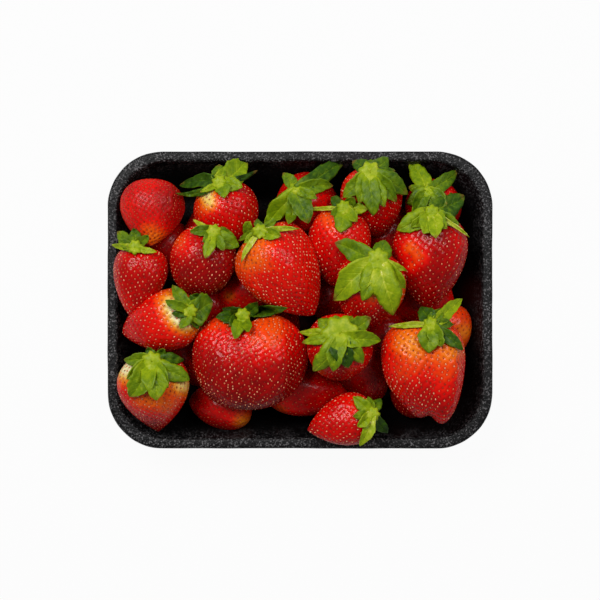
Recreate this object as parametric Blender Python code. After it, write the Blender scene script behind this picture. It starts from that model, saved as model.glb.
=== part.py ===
"""A punnet of strawberries: a shallow foam tray with a rolled rim, and the heap of fruit that fills it.

Run with blender --background --python part.py, or from the text editor. Units are metres, +Z is up,
X runs along the tray, and the origin is at the middle of the underside, on the surface it stands on.
"""

import math

import bmesh
import bpy
from mathutils import Matrix, Vector

MM = 0.001

# Tray, outer sizes over the rim
TRAY_LENGTH = 180 * MM
TRAY_WIDTH = 139 * MM
TRAY_HEIGHT = 30 * MM
CORNER_RADIUS = 26 * MM
CORNER_TIGHTENING = 0.45  # how much a section's corner radius shrinks for each unit of inset
CORNER_STEPS = 7

RIM_WIDTH = 5 * MM
RIM_DROP = 4 * MM  # how far the rim's outer edge hangs below its top
RIM_ROUND = 1.5 * MM
LIP_OVERHANG = 0.6 * MM  # the small step in from the rim's edges to its flat underside
FOAM = 3.2 * MM  # thickness of the floor and walls
WALL_RUN = 13 * MM  # how far the sloping wall comes in between rim and floor
FOOT_INSET = RIM_WIDTH + WALL_RUN + 1.5 * MM
FOOT_ROUND = 2.5 * MM
FLOOR_LIFT = 1.2 * MM  # the foot of the inner wall stands this far above the floor
FLOOR_EASE = 4 * MM  # and the floor levels out over this width
WALL_STEPS = 5

# Fruit
CLEARANCE = 0.3 * MM  # between the heap and the tray
BERRY_SEGMENTS = 14
BERRY_RINGS = 10
STEM_DENT = 1.5 * MM
DENT_RADIUS = 5.5 * MM
CORE_LENGTH = 146 * MM
CORE_WIDTH = 104 * MM
CORE_TOP = 24 * MM
CORE_RADIUS = 24 * MM
CORE_TAPER = 5 * MM

# Each berry: place of its middle in X, Y and Z, length from stem to tip, width, thickness (mm), then
# the heading of its tip round Z from +X, and the lift of its stem end above the horizontal (degrees).
BERRIES = {
    "left_back": (-69, 40, 32, 33, 31, 29, -88, -22),
    "left": (-75, 8, 38, 34, 26, 25, -97, 4),
    "left_front": (-66, -11, 37, 38, 29, 28, 199, 20),
    "corner_front_left": (-67, -45, 36, 39, 33, 31, -88, 30),
    "back": (-34, 40, 31, 30, 31, 29, -75, 8),
    "back_inner": (-44, 17, 39, 34, 32, 30, -100, 15),
    "heart": (-7, 12, 42, 45, 36, 34, -62, 2),
    "fan": (-24, -28, 39, 44, 54, 34, -88, 0),
    "centre": (18, 24, 36, 37, 29, 28, -93, 12),
    "centre_right": (32, 4, 42, 38, 32, 30, -82, 35),
    "upright": (18, -23, 42, 34, 30, 29, -85, 52),
    "front": (19, -56, 38, 32, 25, 24, 197, -4),
    "back_right": (34, 45, 31, 35, 29, 28, -80, 30),
    "right": (60, 18, 37, 44, 34, 32, -93, 4),
    "corner_front_right": (57, -34, 37, 48, 39, 37, -90, 4),
    "low_left": (-62, 23, 18, 29, 25, 24, -70, 5),
    "low_left_front": (-61, -19, 19, 31, 25, 24, 160, 0),
    "low_middle": (-29, 2, 25, 30, 26, 25, 200, 5),
    "low_front": (-37, -49, 25, 31, 24, 23, 175, 5),
    "low_front_middle": (3, -42, 25, 40, 26, 25, -5, 0),
    "low_front_right": (30, -33, 24, 32, 27, 26, -60, 0),
    "low_back_right": (40, 33, 20, 31, 26, 25, 90, 0),
    "low_back": (5, 44, 24, 33, 28, 27, -25, 25),
    "low_corner": (63, 45, 25, 30, 26, 25, -95, 20),
    "low_right": (62, -4, 22, 36, 28, 27, 150, 5),
    "low_right_edge": (70, -15, 24, 30, 22, 21, -95, 20),
}
# Where a berry is fullest and how blunt its tip is: the two powers of its outline (stem, tip).
OUTLINE = (0.42, 0.62)
OUTLINES = {"left_back": (0.40, 0.52), "back": (0.42, 0.55), "back_inner": (0.42, 0.50)}
FAN_CLEFT = 4 * MM  # depth of the cleft between the fan-shaped berry's two shoulders
CLEFT_WIDTH = 8.6 * MM
CLEFT_REACH = 0.45  # share of the berry's length that the cleft runs down


def clear_scene():
    for item in list(bpy.data.objects):
        bpy.data.objects.remove(item, do_unlink=True)


def new_collection(name):
    collection = bpy.data.collections.new(name)
    bpy.context.scene.collection.children.link(collection)
    return collection


def new_material(name, colour, roughness):
    material = bpy.data.materials.new(name)
    material.use_nodes = True
    shader = material.node_tree.nodes["Principled BSDF"]
    shader.inputs["Base Color"].default_value = (*colour, 1.0)
    shader.inputs["Roughness"].default_value = roughness
    shader.inputs["Metallic"].default_value = 0.0
    return material


def new_object(name, bm, collection, material=None):
    mesh = bpy.data.meshes.new(name)
    bm.to_mesh(mesh)
    bm.free()
    item = bpy.data.objects.new(name, mesh)
    collection.objects.link(item)
    if material:
        mesh.materials.append(material)
    return item


def rounded_rectangle(half_length, half_width, radius, height):
    """Points of one level section, anticlockwise seen from above."""
    points = []
    for corner in range(4):
        sign_x = 1 if corner in (0, 3) else -1
        sign_y = 1 if corner < 2 else -1
        for step in range(CORNER_STEPS + 1):
            angle = math.pi / 2 * (corner + step / CORNER_STEPS)
            x = sign_x * (half_length - radius) + radius * math.cos(angle)
            y = sign_y * (half_width - radius) + radius * math.sin(angle)
            points.append((x, y, height))
    return points


def tray_section(inset, height):
    radius = CORNER_RADIUS - CORNER_TIGHTENING * inset
    return rounded_rectangle(TRAY_LENGTH / 2 - inset, TRAY_WIDTH / 2 - inset, radius, height)


def arc(centre_inset, centre_height, radius, start, end, steps):
    """(inset, height) points along an arc; angle 0 points inwards and 90 up."""
    points = []
    for step in range(steps + 1):
        angle = math.radians(start + (end - start) * step / steps)
        points.append((centre_inset + radius * math.cos(angle), centre_height + radius * math.sin(angle)))
    return points


def wall_line(top_inset, top_height, bottom_inset, bottom_height):
    """(inset, height) points down a wall that is steepest at the top and eases out towards its foot."""
    points = []
    for step in range(1, WALL_STEPS + 1):
        share = step / WALL_STEPS
        run = share**1.25
        points.append((
            top_inset + (bottom_inset - top_inset) * run,
            top_height + (bottom_height - top_height) * share,
        ))
    return points


def tray_profile(grow):
    """The tray's cross-section from the middle of the underside round the rim to the floor.

    grow thickens the foam all round, which makes the space that the fruit keeps out of.
    """
    underside = TRAY_HEIGHT - RIM_DROP
    foot = [(FOOT_INSET, -grow), (FOOT_INSET - FOAM / 2, FOOT_ROUND / 4 - grow)]
    outer = wall_line(RIM_WIDTH - LIP_OVERHANG - grow, underside, FOOT_INSET - FOAM - grow, FOOT_ROUND)
    outer.reverse()
    lip = [(RIM_WIDTH - LIP_OVERHANG - grow, underside - grow), (LIP_OVERHANG - grow, underside - grow)]
    over = arc(RIM_ROUND, TRAY_HEIGHT - RIM_ROUND, RIM_ROUND + grow, 180, 90, 3)
    inwards = arc(RIM_WIDTH - RIM_ROUND, TRAY_HEIGHT - RIM_ROUND, RIM_ROUND + grow, 90, 20, 3)
    inner = wall_line(inwards[-1][0], inwards[-1][1], FOOT_INSET + grow, FOAM + FLOOR_LIFT + grow)
    floor = [(FOOT_INSET + FLOOR_EASE, FOAM + grow)]
    return foot + outer + lip + over + inwards + inner + floor


def loft(sections):
    """A closed solid through level sections of equal point counts, capped at the first and the last."""
    bm = bmesh.new()
    rings = [[bm.verts.new(point) for point in section] for section in sections]
    for lower, upper in zip(rings, rings[1:]):
        for i in range(len(lower)):
            j = (i + 1) % len(lower)
            bm.faces.new((lower[i], lower[j], upper[j], upper[i]))
    bm.faces.new(tuple(reversed(rings[0])))
    bm.faces.new(tuple(rings[-1]))
    bmesh.ops.recalc_face_normals(bm, faces=bm.faces)
    return bm


def tray_solid(grow=0.0):
    return loft([tray_section(inset, height) for inset, height in tray_profile(grow)])


def heap_core():
    """The fruit below the top layer, as one block with sloping sides."""
    floor = FOAM + CLEARANCE
    sections = []
    for inset, height in ((CORE_TAPER, floor), (0.0, CORE_TOP)):
        half_length = CORE_LENGTH / 2 - inset
        half_width = CORE_WIDTH / 2 - inset
        sections.append(rounded_rectangle(half_length, half_width, CORE_RADIUS - inset, height))
    return loft(sections)


def berry_point(name, direction):
    """A unit-sphere direction taken to the berry's skin, stem end at +Z.

    With s the share of the length from stem to tip, the half width is s^a (1-s)^c scaled to 1 at its
    fullest; the stem end is dented, and the fan-shaped berry has a cleft between two shoulders.
    """
    length, width, thickness = (value * MM for value in BERRIES[name][3:6])
    a, c = OUTLINES.get(name, OUTLINE)
    share = min(max((1 - direction.z) / 2, 0.0), 1.0)
    fullest = (a / (a + c)) ** a * (c / (a + c)) ** c
    radial = share**a * (1 - share) ** c / fullest
    turn = math.atan2(direction.y, direction.x)
    x = width / 2 * radial * math.cos(turn)
    y = thickness / 2 * radial * math.sin(turn)
    z = length * (0.5 - share)
    if share < 0.5:
        z -= STEM_DENT * math.exp(-(x * x + y * y) / DENT_RADIUS**2)
    if name == "fan":
        z -= FAN_CLEFT * math.exp(-((x / CLEFT_WIDTH) ** 2)) * max(0.0, 1 - share / CLEFT_REACH)
    return Vector((x, y, z))


def berry_placing(name):
    """Turns a berry from stem-up at the origin to its heading and lift, and moves it to its place."""
    x, y, z, _, _, _, heading, lift = BERRIES[name]
    heading, lift = math.radians(heading), math.radians(lift)
    stem = Vector((-math.cos(heading) * math.cos(lift), -math.sin(heading) * math.cos(lift), math.sin(lift)))
    side = Vector((-math.sin(heading), math.cos(heading), 0.0))
    turned = Matrix((side, stem.cross(side), stem)).transposed().to_4x4()
    return Matrix.Translation(Vector((x, y, z)) * MM) @ turned


def berry_solid(name):
    bm = bmesh.new()
    bmesh.ops.create_uvsphere(bm, u_segments=BERRY_SEGMENTS, v_segments=BERRY_RINGS, radius=1.0)
    placing = berry_placing(name)
    for vertex in bm.verts:
        vertex.co = placing @ berry_point(name, vertex.co.normalized())
    return bm


def shade_smooth(item, angle):
    item.data.shade_smooth()
    item.data.set_sharp_from_angle(angle=math.radians(angle))


def as_guide(item):
    item.hide_render = True
    item.display_type = "WIRE"


def make_tray(collection):
    foam = new_material("black_foam", (0.035, 0.035, 0.037), 0.6)
    tray = new_object("tray", tray_solid(), collection, foam)
    shade_smooth(tray, 35)
    return tray


def make_berries(collection, guides):
    """The core and every berry joined into one closed solid, then cut clear of the tray."""
    red = new_material("strawberry", (0.55, 0.02, 0.015), 0.3)
    fruit = bpy.data.collections.new("fruit")
    guides.children.link(fruit)
    for name in BERRIES:
        as_guide(new_object("berry_" + name, berry_solid(name), fruit))
    keep_out = new_object("tray_keep_out", tray_solid(CLEARANCE), guides)
    as_guide(keep_out)

    heap = new_object("berries", heap_core(), collection, red)
    join = heap.modifiers.new("join_fruit", "BOOLEAN")
    join.operation = "UNION"
    join.operand_type = "COLLECTION"
    join.collection = fruit
    join.solver = "EXACT"
    cut = heap.modifiers.new("clear_of_tray", "BOOLEAN")
    cut.operation = "DIFFERENCE"
    cut.object = keep_out
    cut.solver = "EXACT"
    shade_smooth(heap, 50)
    return heap


def main():
    clear_scene()
    punnet = new_collection("strawberry_punnet")
    guides = new_collection("guides")
    guides.hide_render = True
    make_tray(punnet)
    make_berries(punnet, guides)


main()
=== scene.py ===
import math

import bpy
import numpy as np
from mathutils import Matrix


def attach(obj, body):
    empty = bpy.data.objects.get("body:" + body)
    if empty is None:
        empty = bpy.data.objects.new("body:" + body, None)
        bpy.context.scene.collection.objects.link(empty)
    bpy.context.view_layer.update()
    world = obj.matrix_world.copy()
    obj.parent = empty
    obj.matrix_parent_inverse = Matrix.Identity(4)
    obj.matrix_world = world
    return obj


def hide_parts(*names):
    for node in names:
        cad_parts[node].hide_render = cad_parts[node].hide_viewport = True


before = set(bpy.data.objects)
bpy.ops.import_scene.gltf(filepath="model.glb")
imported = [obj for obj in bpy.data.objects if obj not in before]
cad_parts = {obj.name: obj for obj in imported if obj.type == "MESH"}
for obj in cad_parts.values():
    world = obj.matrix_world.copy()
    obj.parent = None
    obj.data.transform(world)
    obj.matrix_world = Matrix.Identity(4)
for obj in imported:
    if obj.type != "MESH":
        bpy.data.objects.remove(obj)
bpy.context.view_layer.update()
mm = 0.001


def makePiece(name, points, faces, material, marks=None, sheetMap=None):
    # points in metres; faces is a list of whole arrays, one for each number of sides
    mesh = bpy.data.meshes.new(name)
    mesh.vertices.add(len(points))
    mesh.vertices.foreach_set("co", np.asarray(points, np.float32).ravel())
    corners = np.concatenate([part.ravel() for part in faces]).astype(np.int32)
    sides = np.concatenate([np.full(len(part), part.shape[1]) for part in faces])
    mesh.loops.add(len(corners))
    mesh.loops.foreach_set("vertex_index", corners)
    mesh.polygons.add(len(sides))
    mesh.polygons.foreach_set("loop_start", (np.cumsum(sides) - sides).astype(np.int32))
    if sheetMap is not None:
        layer = mesh.uv_layers.new(name="OFBake")
        layer.data.foreach_set("uv", np.asarray(sheetMap, np.float32).ravel())
    for markName, values in (marks or {}).items():
        mark = mesh.attributes.new(markName, "FLOAT", "POINT")
        mark.data.foreach_set("value", np.asarray(values, np.float32))
    mesh.update(calc_edges=True)
    mesh.shade_smooth()
    mesh.materials.append(material)
    piece = bpy.data.objects.new(name, mesh)
    bpy.context.scene.collection.objects.link(piece)
    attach(piece, "root")
    return piece


def gridFaces(rows, columns, wrap, offset=0):
    # quads of a rows x columns grid of points; wrap joins the last column to the first
    row = np.arange(rows - 1)[:, None]
    column = np.arange(columns if wrap else columns - 1)[None, :]
    following = (column + 1) % columns
    quads = np.stack([
        row * columns + column,
        row * columns + following,
        (row + 1) * columns + following,
        (row + 1) * columns + column,
    ], axis=-1)
    return quads.reshape(-1, 4) + offset


def linear(colour):
    # a display colour in 0..255 as a linear colour with full alpha
    shares = np.asarray(colour, float) / 255
    values = np.where(shares <= 0.04045, shares / 12.92, ((shares + 0.055) / 1.055) ** 2.4)
    return (*[float(value) for value in values], 1.0)


class Wire:
    # a socket in a node tree; arithmetic on it adds one Math node for each operation
    def __init__(self, nodes, socket):
        self.nodes = nodes
        self.socket = socket

    def maths(self, operation, first, second):
        return self.nodes.add("ShaderNodeMath", {"operation": operation}, {0: first, 1: second})

    def __add__(self, other):
        return self.maths("ADD", self, other)

    def __radd__(self, other):
        return self.maths("ADD", other, self)

    def __sub__(self, other):
        return self.maths("SUBTRACT", self, other)

    def __rsub__(self, other):
        return self.maths("SUBTRACT", other, self)

    def __mul__(self, other):
        return self.maths("MULTIPLY", self, other)

    def __rmul__(self, other):
        return self.maths("MULTIPLY", other, self)

    def bound(self):
        # the value kept between 0 and 1
        return self.nodes.add("ShaderNodeClamp", {}, {"Value": self})

    def unsigned(self):
        # the value without its sign
        return self.nodes.add("ShaderNodeMath", {"operation": "ABSOLUTE"}, {0: self})

    def sine(self):
        return self.nodes.add("ShaderNodeMath", {"operation": "SINE"}, {0: self})


class NodeSet:
    # the nodes of one tree, a material's or the world's
    def __init__(self, tree):
        self.tree = tree

    def add(self, kind, settings, sockets, output=0):
        node = self.tree.nodes.new(kind)
        for settingName, value in settings.items():
            if settingName == "stops":
                self.setStops(node.color_ramp, value)
            else:
                setattr(node, settingName, value)
        for socketName, value in sockets.items():
            self.feed(node.inputs[socketName], value)
        return Wire(self, node.outputs[output])

    def feed(self, socket, value):
        if isinstance(value, Wire):
            self.tree.links.new(value.socket, socket)
        else:
            socket.default_value = value

    def setStops(self, ramp, stops):
        while len(ramp.elements) < len(stops):
            ramp.elements.new(0.5)
        for element, (place, colour) in zip(ramp.elements, stops):
            element.position = place
            element.color = linear(colour)

    def cameraRay(self):
        # 1 for what the camera sees directly, 0 for light that has bounced
        return self.add("ShaderNodeLightPath", {}, {})


class Finish(NodeSet):
    # one material's nodes; fixed values go straight onto the shader's own sockets
    def __init__(self, name, fixed):
        self.material = bpy.data.materials.new(name)
        self.material.use_nodes = True
        super().__init__(self.material.node_tree)
        self.shader = self.tree.nodes["Principled BSDF"]
        for socketName, value in fixed.items():
            self.shader.inputs[socketName].default_value = value

    def mark(self, name):
        # a number stored on the mesh's points
        return self.add("ShaderNodeAttribute", {"attribute_name": name}, {}, output=2)

    def place(self):
        # object coordinates
        return self.add("ShaderNodeTexCoord", {}, {}, output=3)

    def noise(self, size, roughness=0.5):
        # noise whose lumps are about size millimetres across, centred on 0
        sockets = {"Vector": self.place(), "Scale": 1 / (size * mm), "Detail": 2.0, "Roughness": roughness}
        return self.add("ShaderNodeTexNoise", {}, sockets) - 0.5

    def cells(self, size):
        # distance from the middle of the closest cell; cells are about size millimetres across
        sockets = {"Vector": self.place(), "Scale": 1 / (size * mm)}
        return self.add("ShaderNodeTexVoronoi", {"feature": "F1"}, sockets)

    def ramp(self, level, stops):
        return self.add("ShaderNodeValToRGB", {"stops": stops}, {"Fac": level})

    def blend(self, share, first, second, way="MIX"):
        settings = {"data_type": "RGBA", "blend_type": way, "clamp_factor": True}
        return self.add("ShaderNodeMix", settings, {0: share, 6: first, 7: second}, output=2)

    def bump(self, height, depth, strength):
        # height in shares of depth, which is in millimetres
        sockets = {"Strength": strength, "Distance": depth * mm, "Height": height}
        return self.add("ShaderNodeBump", {}, sockets)

    def cover(self, **links):
        # what changes over the surface, by the shader's socket names with _ for a space
        for socketName, value in links.items():
            self.feed(self.shader.inputs[socketName.replace("_", " ")], value)
        return self.material


# Each berry. place: its middle; size: length from stem to tip, width, thickness; heading: where the tip
# points, round Z from +X; lift: how far the stem end stands up; outline: powers at the stem and the tip;
# ripe: 0 cream, 0.4 orange, 0.7 bright red, 1 dark crimson; blushAndShade: (x, y, radius, change of
# ripeness) of paler places, the fruit's own blush, and of darker places, painted shade mostly on the front
# side away from the lamps; bend: how far the tip strays sideways, share of width; lobes: (number, depth) of
# ridges that run from stem to tip; cleft and tipCleft: depth of a notch at the stem or the tip; skew: how
# much longer the right side is than the left; dull: 1 for skin without gloss; paleSeeds: 1 where some of
# the seeds are pale straw, 0 where all are brown. spacing, lumps, pitDepth and outline stand in berryForm
# for the berries that don't state them.
berries = {
    "leftBack": {
        "place": (-69, 40.5, 32), "size": (32, 30, 28), "heading": -91, "lift": -16, "outline": (0.50, 0.84),
        "ripe": 0.82, "spacing": 2.0, "dull": 0.6, "paleSeeds": 0.3, "lobes": (3, 0.03),
        "blushAndShade": [(-68, 28, 8, -0.42), (-83, 42, 8, -0.16), (-60, 44, 8, 0.05), (-70, 54, 6, -0.1)],
    },
    "left": {
        "place": (-74.5, 8.5, 38), "size": (34, 25, 24), "heading": -101, "lift": 4, "outline": (0.42, 0.84),
        "ripe": 0.82, "spacing": 2.2, "blushAndShade": [(-86, -3, 6, -0.3), (-70, 4, 8, 0.04)],
    },
    "leftFront": {
        "place": (-65, -10.5, 37), "size": (39, 29, 28), "heading": 195, "lift": 20, "outline": (0.46, 0.82),
        "ripe": 0.73, "spacing": 2.5,
        "blushAndShade": [(-52, -9, 6, -0.75), (-57, -4, 6, -0.5), (-60, 1, 6, -0.24), (-80, -16, 8, 0.08)],
    },
    "cornerFrontLeft": {
        "place": (-67, -44, 36), "size": (39, 33, 31), "heading": -88, "lift": 26, "outline": (0.48, 1.0),
        "ripe": 0.78, "spacing": 2.3,
        "blushAndShade": [(-79, -31, 7, -0.8), (-53, -39, 5.5, -0.6), (-66, -44, 9, -0.3), (-60, -49, 5, -0.16),
                  (-74, -46, 5, -0.12), (-69, -60, 8, 0.14)],
    },
    "back": {
        "place": (-34, 40, 31), "size": (30, 30, 28), "heading": -75, "lift": 8, "outline": (0.42, 0.58),
        "ripe": 0.79, "spacing": 2.4,
        "blushAndShade": [(-43, 50, 5, -0.62), (-41, 44, 4, -0.42), (-47, 40, 5, -0.15)],
    },
    "backInner": {
        "place": (-45, 18, 39), "size": (32, 31, 29), "heading": -112, "lift": 15, "outline": (0.42, 0.46),
        "ripe": 0.90, "spacing": 2.3, "blushAndShade": [(-55, 27, 7, -0.34), (-38, 8, 8, 0.05)],
    },
    "heart": {
        "place": (-7, 12, 42), "size": (46, 37, 35), "heading": -55, "lift": 2, "outline": (0.38, 0.76),
        "lobes": (5, 0.02), "ripe": 0.71, "spacing": 2.1,
        "blushAndShade": [(-23, 18, 9, -0.22), (-17, 26, 6, -0.12), (2, -4, 10, 0.05)],
    },
    "fan": {
        "place": (-24, -28, 39), "size": (45, 53, 34), "heading": -88, "lift": 0, "outline": (0.37, 0.42),
        "cleft": 4, "ripe": 0.9, "spacing": 2.2, "lobes": (7, 0.03), "lumps": 0.03,
        "blushAndShade": [(-13, -14, 12, -0.35), (-38, -12, 9, -0.26), (-24, -22, 12, -0.08), (-20, -46, 16, 0.06)],
    },
    "centre": {
        "place": (18, 24, 36), "size": (37, 29, 28), "heading": -93, "lift": 12, "outline": (0.42, 0.64),
        "ripe": 0.80, "spacing": 2.5, "blushAndShade": [(13, 36, 8, -0.2), (28, 30, 6, -0.1), (12, 10, 9, 0.1)],
    },
    "centreRight": {
        "place": (32, 4, 42), "size": (38, 32, 30), "heading": -100, "lift": 35,
        "ripe": 0.80, "spacing": 2.3, "blushAndShade": [(33, 3, 5, -0.36), (46, 3, 5, -0.3), (38, -12, 8, 0.08)],
    },
    "upright": {
        "place": (18, -23, 42), "size": (34, 30, 29), "heading": -85, "lift": 52,
        "ripe": 0.80, "spacing": 2.4,
        "blushAndShade": [(9, -33, 4, -0.28), (27, -28, 5, -0.16), (18, -36, 8, 0.08)],
    },
    "front": {
        "place": (19, -56, 38), "size": (32, 24, 23), "heading": 194, "lift": -2, "outline": (0.44, 0.84),
        "ripe": 0.77, "spacing": 2.3, "blushAndShade": [(5, -61, 5, 0.08), (27, -48, 5, -0.12)],
    },
    "backRight": {
        "place": (33.5, 45, 31), "size": (35, 28, 27), "heading": -80, "lift": 30,
        "ripe": 0.78, "spacing": 2.3, "blushAndShade": [(43, 44, 7, -0.05), (20, 55, 6, -0.1), (36, 30, 8, 0.1)],
    },
    "right": {
        "place": (60, 18, 37), "size": (44, 34, 32), "heading": -93, "lift": 4, "outline": (0.42, 0.72),
        "ripe": 0.87, "spacing": 2.6,
        "blushAndShade": [(50, 24, 5, -0.34), (55, 19, 4, -0.26), (51, 15, 3, -0.2), (73, 26, 6, -0.08),
                  (58, 2, 12, 0.06)],
    },
    "cornerFrontRight": {
        "place": (57, -33.5, 39), "size": (48, 38, 36), "heading": -88, "lift": 4, "bend": 0.08,
        "outline": (0.28, 0.5), "tipCleft": 4, "skew": 14, "lobes": (7, 0.04), "lumps": 0.06, "ripe": 0.76,
        "spacing": 2.5, "pitDepth": 0.5,
        "blushAndShade": [(49, -19, 8, -0.38), (69, -22, 8, -0.36), (58, -27, 9, -0.16), (46, -34, 6, -0.12),
                  (66, -36, 6, -0.1), (56, -52, 12, 0.08)],
    },
    "lowLeft": {"place": (-62, 23, 18), "size": (29, 25, 24), "heading": -70, "lift": 5, "ripe": 0.92},
    "lowLeftFront": {"place": (-61, -19, 19), "size": (31, 25, 24), "heading": 160, "lift": 0, "ripe": 0.9},
    "lowMiddle": {
        "place": (-26, 4, 24), "size": (29, 21, 20), "heading": 200, "lift": 5,
        "ripe": 0.85, "blushAndShade": [(-33, 2, 4, -0.4)],
    },
    "lowFront": {
        "place": (-37, -49, 20.5), "size": (31, 24, 23), "heading": 175, "lift": 5,
        "ripe": 0.84, "blushAndShade": [(-27, -57, 6, -0.42)],
    },
    "lowFrontMiddle": {
        "place": (3, -42, 20.5), "size": (40, 26, 25), "heading": -5, "lift": 0,
        "ripe": 0.88, "blushAndShade": [(-9, -52, 6, -0.32)],
    },
    "lowFrontRight": {
        "place": (30, -33, 19.5), "size": (32, 27, 26), "heading": -60, "lift": 0, "ripe": 0.9,
    },
    "lowBackRight": {"place": (42, 32, 16), "size": (31, 26, 25), "heading": 90, "lift": 0, "ripe": 0.95},
    "lowBack": {
        "place": (5, 44, 24), "size": (33, 28, 27), "heading": -25, "lift": 25,
        "ripe": 0.83, "blushAndShade": [(4, 46, 6, -0.16)],
    },
    "lowCorner": {"place": (62, 42, 23), "size": (30, 26, 25), "heading": -95, "lift": 45, "ripe": 0.88},
    "lowRight": {"place": (57, -1, 17), "size": (34, 27, 26), "heading": 195, "lift": 5, "ripe": 0.84},
    "lowRightEdge": {
        "place": (69.5, -15, 22), "size": (28, 22, 21), "heading": -95, "lift": 20,
        "ripe": 0.66, "blushAndShade": [(76, -15, 6, -0.26)],
    },
}

# fruit that only fills gaps low in the heap: place, length, width, heading and ripeness
bottomRow = {
    "bottomBack": ((-8, 24, 17), 28, 25, 20, 0.92),
    "bottomLeft": ((-47, -2, 17), 29, 25, 140, 0.9),
    "bottomMiddle": ((-12, -12, 17), 29, 25, 80, 0.92),
    "bottomFront": ((-43, -31, 16), 27, 24, -30, 0.9),
    "bottomCentre": ((17, 3, 17), 28, 25, 10, 0.92),
    "bottomRight": ((40, -14, 16), 28, 24, 60, 0.92),
    "bottomEdge": ((54, -42, 16), 28, 24, 120, 0.9),
    "bottomInner": ((-42, 31, 15.8), 28, 24, -30, 0.9),
}
for name, (place, length, width, heading, ripe) in bottomRow.items():
    size = (length, width, width - 1)
    berries[name] = {"place": place, "size": size, "heading": heading, "lift": 0, "ripe": ripe}

berryForm = {
    "outline": (0.42, 0.62),
    "stemDent": 1.5,
    "dentRadius": 5.5,
    "lumps": 0.022,  # unevenness of the girth, as a share
    "spacing": 2.5,
    "pitRadius": 0.6,
    "pitDepth": 0.34,
    "puff": 0.26,  # how far the flesh swells between the seeds
    "mesh": 0.66,  # sides of the mesh's squares
    "lowMesh": 0.98,  # the same for fruit that shows in part
    "shoulderPale": 0.1,  # ripeness lost next to the leaves
    "cleftWidth": 0.16,  # of the notch at the stem, as a share of the berry's width
    "tipCleftWidth": 0.1,
}


def berryFrame(berry):
    # unit vectors as rows: across, up, and towards the stem
    heading, lift = math.radians(berry["heading"]), math.radians(berry["lift"])
    level = math.cos(lift)
    stem = np.array([-math.cos(heading) * level, -math.sin(heading) * level, math.sin(lift)])
    side = np.array([-math.sin(heading), math.cos(heading), 0.0])
    return np.stack([side, np.cross(stem, side), stem])


def fleshPoints(berry, lumps, turn, share):
    # half width = s^a (1-s)^c scaled to 1 at its fullest, with s the share of the length from the stem;
    # slow waves and lobes round the girth make it uneven, the stem end is dented, notches are pressed
    # into either end, the right side may be longer and the tip may bend
    length, width, thickness = berry["size"]
    a, c = berry.get("outline", berryForm["outline"])
    fullest = (a / (a + c)) ** a * (c / (a + c)) ** c
    radial = share**a * (1 - share) ** c / fullest
    count, depth = berry.get("lobes", (0, 0))
    wave = depth * np.cos(count * turn + 0.6) * np.sin(np.pi * share)
    for order, (size, phase, twist) in enumerate(lumps, start=2):
        wave = wave + size * np.sin(order * turn + phase + twist * share)
    radial = radial * (1 + wave * np.clip(4 * share, 0, 1))
    x = width / 2 * radial * np.cos(turn)
    y = thickness / 2 * radial * np.sin(turn)
    z = length * (0.5 - share)
    z = z - (share < 0.5) * berryForm["stemDent"] * np.exp(-(x**2 + y**2) / berryForm["dentRadius"] ** 2)
    stemHalf = np.clip(1 - share / 0.45, 0, 1)
    tipHalf = np.clip(2 * share - 1, 0, 1)
    tipEnd = np.clip(share / 0.4 - 1.5, 0, 1)
    z = z - berry.get("cleft", 0) * np.exp(-((x / (berryForm["cleftWidth"] * width)) ** 2)) * stemHalf
    z = z - berry.get("skew", 0) * radial * np.cos(turn) / 2 * tipHalf
    z = z + berry.get("tipCleft", 0) * np.exp(-((x / (berryForm["tipCleftWidth"] * width)) ** 2)) * tipEnd
    x = x + berry.get("bend", 0) * width * np.clip(share - 0.3, 0, 1)
    return np.stack([x, y, z], axis=-1)


def fleshNormals(berry, lumps, turn, share):
    # outward normals: the cross product of small steps along the skin both ways
    step = 1e-3
    share = np.clip(share, 2 * step, 1 - 2 * step)
    around = fleshPoints(berry, lumps, turn + step, share) - fleshPoints(berry, lumps, turn - step, share)
    along = fleshPoints(berry, lumps, turn, share + step) - fleshPoints(berry, lumps, turn, share - step)
    normals = np.cross(along, around)
    return normals / np.linalg.norm(normals, axis=-1, keepdims=True)


def profileRun(berry, lumps):
    # one line of the skin from stem to tip: shares, distances from the axis and the distance run
    share = (1 - np.cos(np.linspace(0, np.pi, 200))) / 2
    line = fleshPoints(berry, lumps, np.zeros(200), share)
    depth = fleshPoints(berry, lumps, np.full(200, np.pi / 2), share)
    radius = (np.abs(line[:, 0]) + np.abs(depth[:, 1])) / 2
    step = np.hypot(np.diff(radius), np.diff(line[:, 2]))
    return share, radius, np.concatenate([[0], np.cumsum(step)])


def seedPlaces(berry, lumps):
    # seeds lie on a spiral of golden angles, spaced so that each has the same share of the skin, and
    # measured round the oval girth so that they are as far apart on its flat sides as on its ends
    share, radius, run = profileRun(berry, lumps)
    area = np.concatenate([[0], np.cumsum(np.pi * (radius[1:] + radius[:-1]) * np.diff(run))])
    count = int(area[-1] / berry.get("spacing", berryForm["spacing"]) ** 2)
    number = np.arange(count) + 0.5
    shares = np.interp(number / count * area[-1], area, share)
    _, width, thickness = berry["size"]
    lap = np.linspace(0, 2 * np.pi, 361)
    girth = np.cumsum(np.hypot(width * np.sin(lap), thickness * np.cos(lap)))
    girth = (girth - girth[0]) / (girth[-1] - girth[0])
    turns = np.interp(np.mod(number * (3 - math.sqrt(5)) / 2, 1), girth, lap)
    return turns, shares


def nearestSeed(points, seeds):
    # distance from every point to the closest seed
    flat = points.reshape(-1, 3)
    squares = (flat**2).sum(1)[:, None] + (seeds**2).sum(1)[None, :] - 2 * flat @ seeds.T
    return np.sqrt(np.maximum(squares.min(1), 0)).reshape(points.shape[:-1])


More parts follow.
